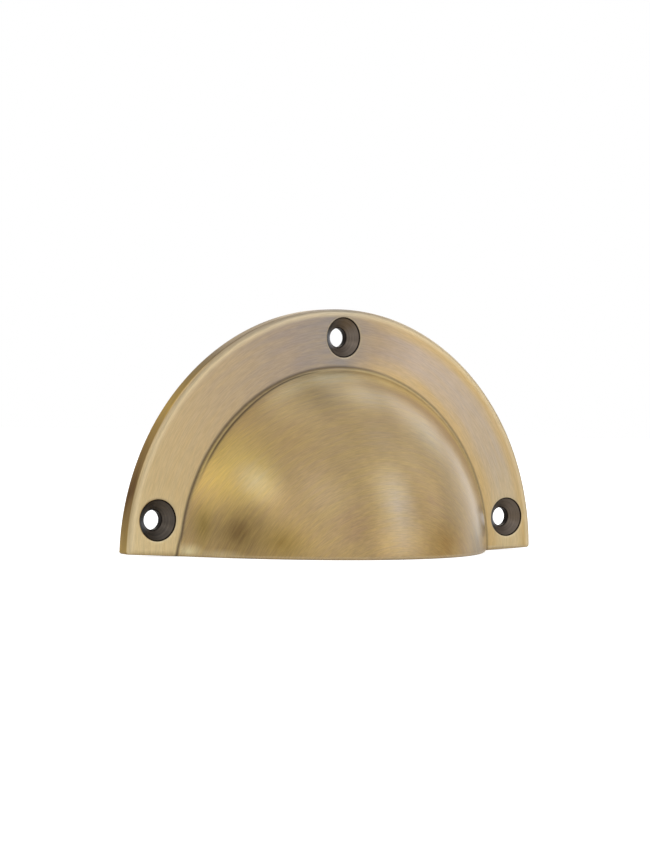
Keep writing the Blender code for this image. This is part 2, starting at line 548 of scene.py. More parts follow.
# %% Helpers for node groups
def new_group(name, takes, gives):
    tree = bpy.data.node_groups.new(name, "ShaderNodeTree")
    for in_out, sockets in (("INPUT", takes), ("OUTPUT", gives)):
        for socket_name, kind in sockets.items():
            tree.interface.new_socket(name=socket_name, in_out=in_out, socket_type="NodeSocket" + kind)
    return tree, tree.nodes.new("NodeGroupInput").outputs, tree.nodes.new("NodeGroupOutput").inputs


def use_group(tree, group, values=()):
    node = add_node(tree, "ShaderNodeGroup", {"node_tree": group})
    for name, value in dict(values).items():
        feed(tree, node.inputs[name], value)
    return node.outputs


# %% [markdown]
# Hairlines
#
# A noise that is squeezed across the brushing and stretched along it looks like brushed metal.
# The group reads the `brush` map, so the lines follow the plate and the hood. It gives fine
# lines, a few tenths of a millimetre wide, and broader streaks, which are the strokes of the
# pad.

# %% The hairlines group
UV_LENGTH_IN_MM = UV_LENGTH / MM
NOISE_DETAIL = 3.0
NOISE_ROUGHNESS = 0.6
NOISE_RANGE = (0.25, 0.75)
STREAKS_LONGER = 4.0
STREAKS_WIDER = 5.0


def hairlines_group():
    tree, takes, gives = new_group(
        "hairlines",
        {"Line Length": "Float", "Line Width": "Float"},
        {"Lines": "Float", "Streaks": "Float"},
    )
    brush = add_node(tree, "ShaderNodeUVMap", {"uv_map": "brush"})
    run = add_node(tree, "ShaderNodeSeparateXYZ", Vector=brush.outputs["UV"])

    def stretched_noise(longer, wider):
        length = maths(tree, "MULTIPLY", takes["Line Length"], longer)
        width = maths(tree, "MULTIPLY", takes["Line Width"], wider)
        along = maths(tree, "DIVIDE", maths(tree, "MULTIPLY", run.outputs["X"], UV_LENGTH_IN_MM), length)
        across = maths(tree, "DIVIDE", maths(tree, "MULTIPLY", run.outputs["Y"], UV_LENGTH_IN_MM), width)
        place = add_node(tree, "ShaderNodeCombineXYZ", X=along, Y=across)
        noise = add_node(
            tree, "ShaderNodeTexNoise", {"noise_dimensions": "2D"},
            Vector=place.outputs["Vector"], Scale=1.0, Detail=NOISE_DETAIL, Roughness=NOISE_ROUGHNESS,
        )
        return fade(tree, noise.outputs[0], *NOISE_RANGE)

    feed(tree, gives["Lines"], stretched_noise(1.0, 1.0))
    feed(tree, gives["Streaks"], stretched_noise(STREAKS_LONGER, STREAKS_WIDER))
    return tree


HAIRLINES = hairlines_group()

# %% [markdown]
# Places
#
# Wear and film depend on where a point is, so four small groups say it in the words of this
# object: how far from the hood's axis and how far round the arch it is, how near a ring, how
# near a screw hole, and how near the middle of a patch. They read Object coordinates, which
# are metres here, and give millimetres, or a mask from 0 to 1. Turn goes from 0 at the right
# foot to 1 at the left.

# %% The group that says where a point is round the hood's axis
def object_place(tree):
    """The point's coordinates, and its place in the plate with the depth left out."""
    where = add_node(tree, "ShaderNodeTexCoord").outputs["Object"]
    split = add_node(tree, "ShaderNodeSeparateXYZ", Vector=where).outputs
    in_plate = add_node(tree, "ShaderNodeCombineXYZ", X=split["X"], Z=split["Z"])
    return split, in_plate.outputs["Vector"]


def place_group():
    tree, takes, gives = new_group(
        "place_on_pull", {},
        {"Radius": "Float", "Turn": "Float", "Forward": "Float", "Side": "Float", "Height": "Float"},
    )
    split, in_plate = object_place(tree)
    radius = add_node(tree, "ShaderNodeVectorMath", {"operation": "LENGTH"}, Vector=in_plate)
    feed(tree, gives["Radius"], maths(tree, "DIVIDE", radius.outputs["Value"], MM))
    angle = maths(tree, "ARCTAN2", split["Z"], split["X"])
    feed(tree, gives["Turn"], maths(tree, "DIVIDE", angle, pi))
    forward = maths(tree, "SUBTRACT", BACK_Y, split["Y"])
    feed(tree, gives["Forward"], maths(tree, "DIVIDE", forward, MM))
    feed(tree, gives["Side"], maths(tree, "DIVIDE", split["X"], MM))
    feed(tree, gives["Height"], maths(tree, "DIVIDE", split["Z"], MM))
    return tree


PLACE = place_group()


# %% The group that marks a ring
def ring_group():
    tree, takes, gives = new_group(
        "ring", {"Value": "Float", "Centre": "Float", "Half Width": "Float"}, {"Mask": "Float"}
    )
    off = maths(tree, "ABSOLUTE", maths(tree, "SUBTRACT", takes["Value"], takes["Centre"]))
    share = maths(tree, "DIVIDE", off, takes["Half Width"])
    feed(tree, gives["Mask"], fade(tree, share, 1.0, 0.0))
    return tree


RING = ring_group()


def ring_mask(tree, value, centre, half_width):
    return use_group(tree, RING, {"Value": value, "Centre": centre, "Half Width": half_width})["Mask"]


# %% The group that measures from the nearest screw hole
def from_screws_group():
    tree, takes, gives = new_group("from_screws", {}, {"Distance": "Float"})
    in_plate = object_place(tree)[1]
    nearest = None
    for centre in SCREWS.values():
        gap = add_node(tree, "ShaderNodeVectorMath", {"operation": "DISTANCE"})
        feed(tree, gap.inputs[0], in_plate)
        feed(tree, gap.inputs[1], centre)
        value = gap.outputs["Value"]
        nearest = value if nearest is None else maths(tree, "MINIMUM", nearest, value)
    feed(tree, gives["Distance"], maths(tree, "DIVIDE", nearest, MM))
    return tree


FROM_SCREWS = from_screws_group()


# %% The group that marks a patch
def patch_group():
    tree, takes, gives = new_group("patch", {"Centre": "Vector", "Reach": "Vector"}, {"Mask": "Float"})
    where = add_node(tree, "ShaderNodeTexCoord").outputs["Object"]
    off = add_node(tree, "ShaderNodeVectorMath", {"operation": "SUBTRACT"})
    feed(tree, off.inputs[0], where)
    feed(tree, off.inputs[1], takes["Centre"])
    share = add_node(tree, "ShaderNodeVectorMath", {"operation": "DIVIDE"})
    feed(tree, share.inputs[0], off.outputs["Vector"])
    feed(tree, share.inputs[1], takes["Reach"])
    length = add_node(
        tree, "ShaderNodeVectorMath", {"operation": "LENGTH"}, Vector=share.outputs["Vector"]
    )
    feed(tree, gives["Mask"], fade(tree, length.outputs["Value"], 1.0, 0.0))
    return tree


PATCH = patch_group()
print("groups of places:", [group.name for group in (PLACE, RING, FROM_SCREWS, PATCH)])

# %% [markdown]
# The crease between hood and plate is where the dark bath stays longest and where shade
# falls, so its dark lines are partly tarnish and partly painted shade. On the left it shows
# two dark lines with a paler strip between them. The inner line is sharp and ends some way
# above the foot. The outer one is broad and soft, grows thin on the right, and leaves the
# fillet a little towards the left foot. Both are rings round the hood's foot, whose centre,
# width and strength change with the turn.

# %% The group of the dark lines in the crease
# The outer line at each side: its place outside the hood's foot and its half width, in mm, and
# its strength. Where a line changes, starts or ends is in turns.
OUTER_LINE_RIGHT = (0.52, 0.50, 0.62)
OUTER_LINE_LEFT = (0.47, 0.66, 0.95)
OUTER_LINE_CHANGES = (0.40, 0.52)
FOOT_SHIFT = 0.8
FOOT_SHIFT_GROWS = (0.955, 1.0)
INNER_LINE_WIDTH = 0.32
INNER_LINE_SHIFT = -0.24
INNER_LINE_MOVES = (0.60, 0.74)
INNER_LINE_STARTS = (0.50, 0.60)
INNER_LINE_ENDS = (0.90, 0.80)


def crease_group():
    tree, takes, gives = new_group("crease", {"Radius": "Float", "Turn": "Float"}, {"Mask": "Float"})
    turn = takes["Turn"]
    off = maths(tree, "SUBTRACT", takes["Radius"], HOOD_BASE_RADIUS / MM)
    centre, width, amount = (
        fade(tree, turn, *OUTER_LINE_CHANGES, right, left)
        for right, left in zip(OUTER_LINE_RIGHT, OUTER_LINE_LEFT)
    )
    centre = maths(tree, "ADD", centre, fade(tree, turn, *FOOT_SHIFT_GROWS, 0.0, FOOT_SHIFT))
    outer = maths(tree, "MULTIPLY", ring_mask(tree, off, centre, width), amount)
    centre = fade(tree, turn, *INNER_LINE_MOVES, 0.0, INNER_LINE_SHIFT)
    inner = ring_mask(tree, off, centre, INNER_LINE_WIDTH)
    inner = maths(tree, "MULTIPLY", inner, fade(tree, turn, *INNER_LINE_STARTS))
    inner = maths(tree, "MULTIPLY", inner, fade(tree, turn, *INNER_LINE_ENDS))
    feed(tree, gives["Mask"], maths(tree, "MAXIMUM", outer, inner))
    return tree


CREASE = crease_group()


def crease_mask(tree, place):
    return use_group(tree, CREASE, {"Radius": place["Radius"], "Turn": place["Turn"]})["Mask"]


# %% [markdown]
# Aged brass
#
# The last group mixes the layers: bare metal, the film over it, brown tarnish and painted
# shade in the hollows, and a bright layer for metal rubbed bright on the edges and for painted
# highlights and reflections. The film is cloudy, and the streaks of the pad break it up.
# Lines darken and lighten the colour a little and change the gloss.

# %% The aged brass group
CLOUD_SCALE = 70.0
CLOUD_DETAIL = 3.0
CLOUD_ROUGHNESS = 0.55
# The dark colour is partly tarnish and partly painted shade; the bright one is partly rubbed metal and
# partly painted highlights and reflections.
TARNISH_AND_SHADE = (0.10, 0.070, 0.040, 1)
RUBBED_AND_HIGHLIGHT = (0.86, 0.70, 0.43, 1)
FILM_DULLS = 0.05
LINES_DULL = 0.25
TARNISH_AND_SHADE_DULLS = 0.15


def aged_brass_group():
    tree, takes, gives = new_group(
        "aged_brass",
        {
            "Bare": "Color", "Film": "Color", "Film Amount": "Float", "Film Unevenness": "Float",
            "Tarnish And Shade Amount": "Float", "Rubbed And Highlight Amount": "Float", "Lines": "Float", "Streaks": "Float",
            "Line Contrast": "Float", "Roughness": "Float",
        },
        {"Color": "Color", "Roughness": "Float", "Height": "Float"},
    )
    where = add_node(tree, "ShaderNodeTexCoord").outputs["Object"]
    clouds = add_node(
        tree, "ShaderNodeTexNoise",
        Vector=where, Scale=CLOUD_SCALE, Detail=CLOUD_DETAIL, Roughness=CLOUD_ROUGHNESS,
    ).outputs[0]
    broken = maths(tree, "SUBTRACT", maths(tree, "ADD", clouds, takes["Streaks"]), 1.0)
    uneven = maths(tree, "MULTIPLY", broken, takes["Film Unevenness"])
    film = maths(tree, "ADD", takes["Film Amount"], uneven)
    film = add_node(tree, "ShaderNodeClamp", Value=film).outputs[0]
    colour = blend(tree, film, takes["Bare"], takes["Film"])
    colour = blend(tree, takes["Rubbed And Highlight Amount"], colour, RUBBED_AND_HIGHLIGHT)
    colour = blend(tree, takes["Tarnish And Shade Amount"], colour, TARNISH_AND_SHADE)
    swing = maths(tree, "MULTIPLY", maths(tree, "SUBTRACT", takes["Lines"], 0.5), takes["Line Contrast"])
    light = maths(tree, "ADD", swing, 1.0)
    grey = add_node(tree, "ShaderNodeCombineColor", Red=light, Green=light, Blue=light).outputs["Color"]
    feed(tree, gives["Color"], blend(tree, 1.0, colour, grey, "MULTIPLY"))
    dulling = ((film, FILM_DULLS), (swing, LINES_DULL), (takes["Tarnish And Shade Amount"], TARNISH_AND_SHADE_DULLS))
    rough = takes["Roughness"]
    for value, dulls in dulling:
        rough = maths(tree, "ADD", rough, maths(tree, "MULTIPLY", value, dulls))
    feed(tree, gives["Roughness"], rough)
    feed(tree, gives["Height"], takes["Lines"])
    return tree


AGED_BRASS = aged_brass_group()
print("groups of the finish:", [group.name for group in (HAIRLINES, CREASE, AGED_BRASS)])

# %% [markdown]
# The shader
#
# Every finish ends in a Principled shader with full Metallic. Brushing makes the shine spread
# across the lines, which Anisotropic does, with a tangent taken from the same map as the
# lines and turned a quarter. A thin coat stands for the lacquer, and whitens the shine where
# the metal is seen at a shallow angle. Each finish brings its own coat: the hood has the most,
# and the side of the rim, the screw holes and the inside have none.

# %% One brass shader from the layers
QUARTER_TURN = 0.25
LACQUER_ROUGHNESS = 0.25
LINE_HEIGHT = 0.02 * MM


def brass_shader(name, layers, anisotropy, line_depth):
    material = bpy.data.materials.new(name)
    material.use_nodes = True
    tree = material.node_tree
    shader = tree.nodes["Principled BSDF"]
    shader.inputs["Metallic"].default_value = 1.0
    shader.inputs["Anisotropic"].default_value = anisotropy
    shader.inputs["Anisotropic Rotation"].default_value = QUARTER_TURN
    shader.inputs["Coat Roughness"].default_value = LACQUER_ROUGHNESS
    tangent = add_node(tree, "ShaderNodeTangent", {"direction_type": "UV_MAP", "uv_map": "brush"})
    feed(tree, shader.inputs["Tangent"], tangent.outputs["Tangent"])
    values = layers(tree)
    feed(tree, shader.inputs["Coat Weight"], values.pop("Coat"))
    finish = use_group(tree, AGED_BRASS, values)
    feed(tree, shader.inputs["Base Color"], finish["Color"])
    feed(tree, shader.inputs["Roughness"], finish["Roughness"])
    bump = add_node(
        tree, "ShaderNodeBump", Strength=line_depth, Distance=LINE_HEIGHT, Height=finish["Height"]
    )
    feed(tree, shader.inputs["Normal"], bump.outputs["Normal"])
    return material


# %% [markdown]
# The plate
#
# Its colour is not the same all the way round: it is tan and light at the left foot, dark
# and mauve beside the top screw, and pinkish on the right with golden borders along the rim
# and the hood, where the film is thinner. This is partly the film and partly painted light:
# lighter towards the feet and painted shade at the top of the arch. The colours sit on a ramp
# that is read round the arch, and two rings mark the borders. The side of the rim has a ramp
# of its own, with its film, painted shade and a painted highlight. The front edge of the rim
# is rubbed bright and painted with its highlight, the lips of the screw holes are lightened,
# and the right foot is painted bright as a reflection of the pale table.

# %% The colours of the plate, with painted light and shade, by the turn round the arch
PLATE_BARE = (0.66, 0.45, 0.18, 1)
# Partly the film's colour and partly painted light: lighter towards the feet and painted shade at the
# top of the arch.
PLATE_FILM_LIGHT_AND_SHADE = (
    (0.00, (0.76, 0.59, 0.31, 1)),
    (0.15, (0.59, 0.47, 0.33, 1)),
    (0.36, (0.60, 0.47, 0.36, 1)),
    (0.44, (0.42, 0.31, 0.215, 1)),
    (0.50, (0.30, 0.255, 0.22, 1)),
    (0.60, (0.36, 0.28, 0.22, 1)),
    (0.76, (0.54, 0.40, 0.23, 1)),
    (0.90, (0.66, 0.50, 0.26, 1)),
    (1.00, (0.88, 0.70, 0.38, 1)),
)
# The side of the rim: its film, with painted shade in the dark stops and a painted highlight in the
# golden stop.
RIM_SIDE_FILM_LIGHT_AND_SHADE = (
    (0.55, (0.25, 0.18, 0.10, 1)),
    (0.70, (0.16, 0.103, 0.044, 1)),
    (0.80, (0.72, 0.46, 0.10, 1)),
    (0.86, (0.42, 0.25, 0.07, 1)),
    (0.92, (0.15, 0.062, 0.012, 1)),
    (1.00, (0.53, 0.36, 0.11, 1)),
)


def film_ramp(tree, turn, stops):
    ramp = add_node(tree, "ShaderNodeValToRGB", Fac=turn)
    elements = ramp.color_ramp.elements
    for element, (place, colour) in zip(elements, (stops[0], stops[-1])):
        element.position = place
        element.color = colour
    for place, colour in stops[1:-1]:
        elements.new(place).color = colour
    return ramp.outputs["Color"]


# %% The plate's finish
BRUSHING = {"Line Length": 3.2, "Line Width": 0.25}
# The crease's dark lines are partly tarnish and partly painted shade.
CREASE_TARNISH_AND_SHADE = 0.85
# Rings as the radius of their middle and their half width, in mm.
RIM_BORDER = (PLATE_RADIUS / MM - 1.6, 2.6)
INNER_BORDER = (HOOD_BASE_RADIUS / MM + 0.9, 4.6)
# The front edge of the rim is partly rubbed and partly painted highlight.
RIM_EDGE_WEAR_AND_HIGHLIGHT = (PLATE_RADIUS / MM - 0.85, 1.1)
SCREW_LIP = (COUNTERSINK_RADIUS / MM + 0.08, 0.24)
# Where a fade starts and where it is complete: turns, then mm forward and mm up.
PLATE_RIGHT = (0.50, 0.36)
PLATE_FRONT = (2.7, 3.1)
# The right foot is painted bright as a reflection of the pale table.
PLATE_FOOT_REFLECTION = (1.3, 0.7)
PLATE_FILM_AMOUNT = 0.9
GOLD_SHOWS = 0.75
# How much the lips of the screw holes are lightened.
LIPS_LIGHTENED = 0.7
PLATE_RUBBED_AND_HIGHLIGHT = 0.6
PLATE_COAT = 0.6


def plate_layers(tree):
    place = use_group(tree, PLACE)
    hairs = use_group(tree, HAIRLINES, BRUSHING)
    from_screws = use_group(tree, FROM_SCREWS)["Distance"]
    rim = ring_mask(tree, place["Radius"], *RIM_BORDER)
    inner = ring_mask(tree, place["Radius"], *INNER_BORDER)
    right = fade(tree, place["Turn"], *PLATE_RIGHT)
    gold = maths(tree, "MULTIPLY", maths(tree, "MAXIMUM", rim, inner), right)
    gold = maths(tree, "MULTIPLY", gold, GOLD_SHOWS)
    on_front = fade(tree, place["Forward"], *PLATE_FRONT)
    # The bright layer: the front edge, partly rubbed and partly painted highlight, the lightened lips,
    # and the right foot, painted as a reflection of the pale table.
    edge = maths(tree, "MULTIPLY", ring_mask(tree, place["Radius"], *RIM_EDGE_WEAR_AND_HIGHLIGHT), on_front)
    lip = maths(tree, "MULTIPLY", ring_mask(tree, from_screws, *SCREW_LIP), LIPS_LIGHTENED)
    foot = maths(tree, "MULTIPLY", fade(tree, place["Height"], *PLATE_FOOT_REFLECTION), right)
    rubbed_and_highlight = maths(tree, "MAXIMUM", maths(tree, "MAXIMUM", edge, lip), foot)
    # The ramps give the film's colour together with painted light and shade.
    film = film_ramp(tree, place["Turn"], PLATE_FILM_LIGHT_AND_SHADE)
    side_film_light_and_shade = film_ramp(tree, place["Turn"], RIM_SIDE_FILM_LIGHT_AND_SHADE)
    return {
        "Bare": PLATE_BARE,
        "Film": blend(tree, on_front, side_film_light_and_shade, film),
        "Film Amount": maths(tree, "SUBTRACT", PLATE_FILM_AMOUNT, gold),
        "Film Unevenness": 0.22,
        # The crease's dark lines: partly tarnish, partly painted shade.
        "Tarnish And Shade Amount": maths(tree, "MULTIPLY", crease_mask(tree, place), CREASE_TARNISH_AND_SHADE),
        # Rubbed metal with painted highlight on the front edge, lightened lips, and a painted reflection
        # of the pale table on the right foot.
        "Rubbed And Highlight Amount": maths(tree, "MULTIPLY", rubbed_and_highlight, PLATE_RUBBED_AND_HIGHLIGHT),
        "Lines": hairs["Lines"],
        "Streaks": hairs["Streaks"],
        "Line Contrast": 0.18,
        "Roughness": 0.29,
        "Coat": fade(tree, place["Forward"], *PLATE_FRONT, 0.0, PLATE_COAT),
    }


# %% [markdown]
# The hood
#
# It is the part that hands touch, so its film is thinner and uneven: a golden place on the
# left, partly worn and partly painted highlight, a pale painted highlight beside it, a dark
# place below them, a light streak down the front that is a painted highlight, and browner
# metal round it. The top and the right foot are painted shade, the foot's edge is painted as
# a reflection of the pale table, and the right side as a reflection of the golden plate. A
# table holds these places. Each has a centre and a reach in millimetres, the film's colour and
# its strength, and fades out smoothly, so it leaves no outline. Two rings paint the plate's
# reflection as a pale border along the crease, at the top and on the right.

# %% The colours and places of the hood
HOOD_BARE = (0.72, 0.51, 0.15, 1)
HOOD_FILM = (0.56, 0.382, 0.185, 1)
# A golden place, partly film worn thin and partly painted highlight.
GOLDEN_WEAR_AND_HIGHLIGHT = ((-31, 5, 18), (14, 14, 14))
# Some places are painted light: the dull top and the dark right foot are painted shade; the pale bands
# at the top and on the right, the light streak, the pale place and the bright foot corner are painted
# highlight colours; the golden band down the right is a painted reflection of the golden plate, and the
# light foot edge a painted reflection of the pale table. The dark place low on the left only darkens the
# film.
HOOD_PLACES = {
    "painted shade at the top": ((-8, 4, 33), (13, 9, 8), (0.37, 0.26, 0.13, 1), 0.85),
    "painted highlight at the top": ((3, 3, 33), (9, 8, 5), (0.64, 0.50, 0.31, 1), 0.8),
    "painted highlight colour on the right": ((12.7, -2, 25), (7, 7, 7), (0.47, 0.35, 0.20, 1), 0.8),
    "pale middle": ((-1, -5, 24), (6, 6, 7), (0.60, 0.43, 0.25, 1), 0.8),
    "dull left": ((-19, 0, 24), (7, 7, 7), (0.52, 0.34, 0.155, 1), 0.7),
    "warm middle": ((-17.5, -6, 14), (7, 7, 8), (0.64, 0.44, 0.23, 1), 0.8),
    "brown middle": ((-11, -10.7, 7), (6, 6, 7), (0.52, 0.33, 0.18, 1), 0.8),
    "painted highlight streak": ((-1, -11.5, 10), (7, 7, 16), (0.54, 0.42, 0.285, 1), 0.9),
    "brown beside the streak": ((8.5, -10.4, 12), (7, 7, 9), (0.48, 0.31, 0.145, 1), 0.9),
    "low golden brown": ((12, -10.8, 2.5), (11, 9, 8), (0.50, 0.28, 0.06, 1), 0.95),
    "painted reflection down the right": ((26, 1, 17), (7, 6, 16), (0.64, 0.44, 0.185, 1), 1.0),
    "painted shade at the right foot": ((26, -4, 3), (8, 8, 7), (0.31, 0.20, 0.06, 1), 0.85),
    "painted pale highlight": ((-26.8, 1.2, 15.5), (7, 8, 7), (0.73, 0.58, 0.29, 1), 0.9),
    "dark place low on the left": ((-30.4, 0.9, 5.0), (9, 9, 9), (0.29, 0.175, 0.052, 1), 1.0),
    "golden brown beside the dark place": ((-24, -5, 3.2), (8, 8, 6), (0.43, 0.27, 0.06, 1), 0.9),
    "olive shade near the crease": ((-35.6, 6.5, 6.5), (3.6, 3.6, 8), (0.39, 0.26, 0.06, 1), 0.9),
    "painted highlight at the foot corner": ((-37.6, 8.6, 0.9), (4.2, 4.2, 2.4), (1.0, 0.87, 0.52, 1), 1.0),
    "painted reflection on the foot edge": ((-33, 4, 0.5), (7, 7, 1.6), (0.80, 0.64, 0.36, 1), 0.8),
}
# The hood's foot along the crease is painted with these colours as a reflection of the golden plate.
RIGHT_REFLECTION_COLOUR = (0.99, 0.79, 0.35, 1)
TOP_REFLECTION_COLOUR = (1.0, 0.86, 0.54, 1)

# %% The hood's finish
# Rings of painted reflection of the plate: the radius of the middle and the half width, in mm.
RIGHT_REFLECTION_RING = (HOOD_BASE_RADIUS / MM - 1.2, 2.2)
TOP_REFLECTION_RING = (HOOD_BASE_RADIUS / MM - 1.3, 2.1)
TOP_TURNS = (0.545, 0.16)
HOOD_RIGHT = (0.52, 0.42)
# The hood's foot is painted bright as a reflection of the pale table.
HOOD_FOOT_REFLECTION_HEIGHTS = (0.8, 0.4)
HOOD_FILM_AMOUNT = 0.8
HOOD_FOOT_REFLECTION = 0.5


def hood_layers(tree):
    place = use_group(tree, PLACE)
    hairs = use_group(tree, HAIRLINES, BRUSHING)

    def near(centre, reach):
        values = {"Centre": Vector(centre) * MM, "Reach": Vector(reach) * MM}
        return use_group(tree, PATCH, values)["Mask"]

    # A golden place, partly film worn thin and partly painted highlight.
    golden_wear_and_highlight = maths(tree, "MULTIPLY", near(*GOLDEN_WEAR_AND_HIGHLIGHT), HOOD_FILM_AMOUNT)
    film_amount = maths(tree, "SUBTRACT", HOOD_FILM_AMOUNT, golden_wear_and_highlight)
    # Painted reflections of the plate along the crease, on the right and at the top.
    right = fade(tree, place["Turn"], *HOOD_RIGHT)
    right = maths(tree, "MULTIPLY", ring_mask(tree, place["Radius"], *RIGHT_REFLECTION_RING), right)
    top_reflection = ring_mask(tree, place["Turn"], *TOP_TURNS)
    top_reflection = maths(tree, "MULTIPLY", ring_mask(tree, place["Radius"], *TOP_REFLECTION_RING), top_reflection)
    masks = [(right, RIGHT_REFLECTION_COLOUR), (top_reflection, TOP_REFLECTION_COLOUR)]
    for centre, reach, colour, strength in HOOD_PLACES.values():
        masks.append((maths(tree, "MULTIPLY", near(centre, reach), strength), colour))
    film = HOOD_FILM
    for mask, colour in masks:
        film = blend(tree, mask, film, colour)
        film_amount = maths(tree, "MAXIMUM", film_amount, mask)
    return {
        "Bare": HOOD_BARE,
        "Film": film,
        "Film Amount": film_amount,
        "Film Unevenness": 0.28,
        # The crease's dark lines: partly tarnish, partly painted shade.
        "Tarnish And Shade Amount": maths(tree, "MULTIPLY", crease_mask(tree, place), CREASE_TARNISH_AND_SHADE),
        # The foot painted bright as a reflection of the pale table.
        "Rubbed And Highlight Amount": fade(tree, place["Height"], *HOOD_FOOT_REFLECTION_HEIGHTS, 0.0, HOOD_FOOT_REFLECTION),
        "Lines": hairs["Lines"],
        "Streaks": hairs["Streaks"],
        "Line Contrast": 0.20,
        "Roughness": 0.30,
        "Coat": 0.7,
    }


# %% [markdown]
# The screw holes and the inside
#
# No pad reaches into the countersinks, so they keep the full dark bath, with fine turning
# rings left by the drill. The bore, the line under each lip and the left side of each cone
# are painted nearly black as the shade and shadow that fall there, and the left hole gets a
# darker film as painted shade. The inside of the hood and the back of the plate keep the
# bath as well, but over the rougher skin of the casting.

# %% The dark finishes
HOLE_BARE = (0.36, 0.29, 0.23, 1)
HOLE_FILM = (0.22, 0.18, 0.145, 1)
# Painted shade: the left hole's darker film, and the near-black of the bore, the line under each lip and
# the left side of each cone.
LEFT_HOLE_SHADE_FILM = (0.11, 0.095, 0.08, 1)
HOLE_SHADE_BLACK = (0.020, 0.015, 0.012, 1)
INSIDE_BARE = (0.42, 0.30, 0.15, 1)
INSIDE_FILM = (0.20, 0.14, 0.085, 1)
# Where each fade starts and where it is complete, in mm from the hole's axis.
BORE_SHADE_FADE = (BORE_RADIUS / MM + 0.25, BORE_RADIUS / MM + 0.05)
UNDER_LIP_SHADE_FADE = (COUNTERSINK_RADIUS / MM - 0.40, COUNTERSINK_RADIUS / MM - 0.25)
CONE_LEFT_SHADOW_FADE = (-1.6, -3.0)
CONE_LEFT_SHADOW = 0.7
# The same in mm from the middle of the pull, and half the step from hole to hole.
LEFT_HOLE_SHADE_FADE = (-20.0, -30.0)
HALF_SPACING = SIDE_SCREW_X / MM / 2
HOLE_FILM_AMOUNT = 0.85
SHADE_THICKENS_FILM = 0.4


def screw_hole_layers(tree):
    hairs = use_group(tree, HAIRLINES, {"Line Length": 14.0, "Line Width": 0.2})
    from_axis = use_group(tree, FROM_SCREWS)["Distance"]
    # Painted shade and shadow: the bore, the line under the lip and the left side of each cone go nearly
    # black, and the left hole gets a darker film.
    bore_shade = fade(tree, from_axis, *BORE_SHADE_FADE)
    under_lip_shade = fade(tree, from_axis, *UNDER_LIP_SHADE_FADE)
    across = use_group(tree, PLACE)["Side"]
    across_hole = maths(tree, "WRAP", across, HALF_SPACING, -HALF_SPACING)
    left = fade(tree, across_hole, *CONE_LEFT_SHADOW_FADE, 0.0, CONE_LEFT_SHADOW)
    hole_shade = maths(tree, "MAXIMUM", maths(tree, "MAXIMUM", bore_shade, under_lip_shade), left)
    film = blend(tree, fade(tree, across, *LEFT_HOLE_SHADE_FADE), HOLE_FILM, LEFT_HOLE_SHADE_FILM)
    shade_film_extra = maths(tree, "MULTIPLY", hole_shade, SHADE_THICKENS_FILM)
    return {
        "Bare": HOLE_BARE,
        "Film": blend(tree, hole_shade, film, HOLE_SHADE_BLACK),
        "Film Amount": maths(tree, "ADD", HOLE_FILM_AMOUNT, shade_film_extra),
        "Film Unevenness": 0.3,
        "Tarnish And Shade Amount": 0.0,
        "Rubbed And Highlight Amount": 0.0,
        "Lines": hairs["Lines"],
        "Streaks": hairs["Streaks"],
        "Line Contrast": 0.3,
        "Roughness": 0.38,
        "Coat": 0.0,
    }


def inside_layers(tree):
    hairs = use_group(tree, HAIRLINES, {"Line Length": 5.0, "Line Width": 1.2})
    return {
        "Bare": INSIDE_BARE,
        "Film": INSIDE_FILM,
        "Film Amount": 0.6,
        "Film Unevenness": 0.5,
        "Tarnish And Shade Amount": 0.0,
        "Rubbed And Highlight Amount": 0.0,
        "Lines": hairs["Lines"],
        "Streaks": hairs["Streaks"],
        "Line Contrast": 0.3,
        "Roughness": 0.46,
        "Coat": 0.0,
    }


# %% Put the finishes on
MATERIALS = {
    "plate": brass_shader("brushed_plate", plate_layers, anisotropy=0.55, line_depth=0.25),
    "hood": brass_shader("brushed_hood", hood_layers, anisotropy=0.5, line_depth=0.25),
    "screw_hole": brass_shader("dark_screw_hole", screw_hole_layers, anisotropy=0.4, line_depth=0.3),
    "inside": brass_shader("dark_inside", inside_layers, anisotropy=0.0, line_depth=0.3),
}
for finish in FINISHES:
    pull.data.materials.append(MATERIALS[finish])
print("finishes:", [material.name for material in pull.data.materials])

# %% [markdown]
# The table and the studio
#
# The photograph has a plain white ground. A wide pale disc stands for it, and the world behind
# is the same white for the camera. To the metal both are dimmer, so that the soft boxes round
# the pull shape its shine. A Light Path node tells the camera's rays from all the others.

# %% The pale floor
FLOOR_RADIUS = 3.0
FLOOR_SIDES = 96
FLOOR_COLOUR = (0.88, 0.88, 0.88, 1)
FLOOR_ROUGHNESS = 0.8
FLOOR_GLOW = 0.05
FLOOR_GLOW_TO_CAMERA = 0.75


def make_floor():
    mesh = bpy.data.meshes.new("floor")
    bm = bmesh.new()
    bmesh.ops.create_circle(bm, cap_ends=True, radius=FLOOR_RADIUS, segments=FLOOR_SIDES)
    bm.to_mesh(mesh)
    bm.free()
    obj = bpy.data.objects.new("floor", mesh)
    bpy.context.scene.collection.objects.link(obj)
    material = bpy.data.materials.new("pale_floor")
    material.use_nodes = True
    tree = material.node_tree
    shader = tree.nodes["Principled BSDF"]
    shader.inputs["Base Color"].default_value = FLOOR_COLOUR
    shader.inputs["Roughness"].default_value = FLOOR_ROUGHNESS
    shader.inputs["Emission Color"].default_value = (1, 1, 1, 1)
    camera_ray = add_node(tree, "ShaderNodeLightPath").outputs["Is Camera Ray"]
    extra = maths(tree, "MULTIPLY", camera_ray, FLOOR_GLOW_TO_CAMERA - FLOOR_GLOW)
    feed(tree, shader.inputs["Emission Strength"], maths(tree, "ADD", extra, FLOOR_GLOW))
    mesh.materials.append(material)
    return obj


floor = make_floor()

# %% The white surroundings
SURROUND_LIGHT = 0.50


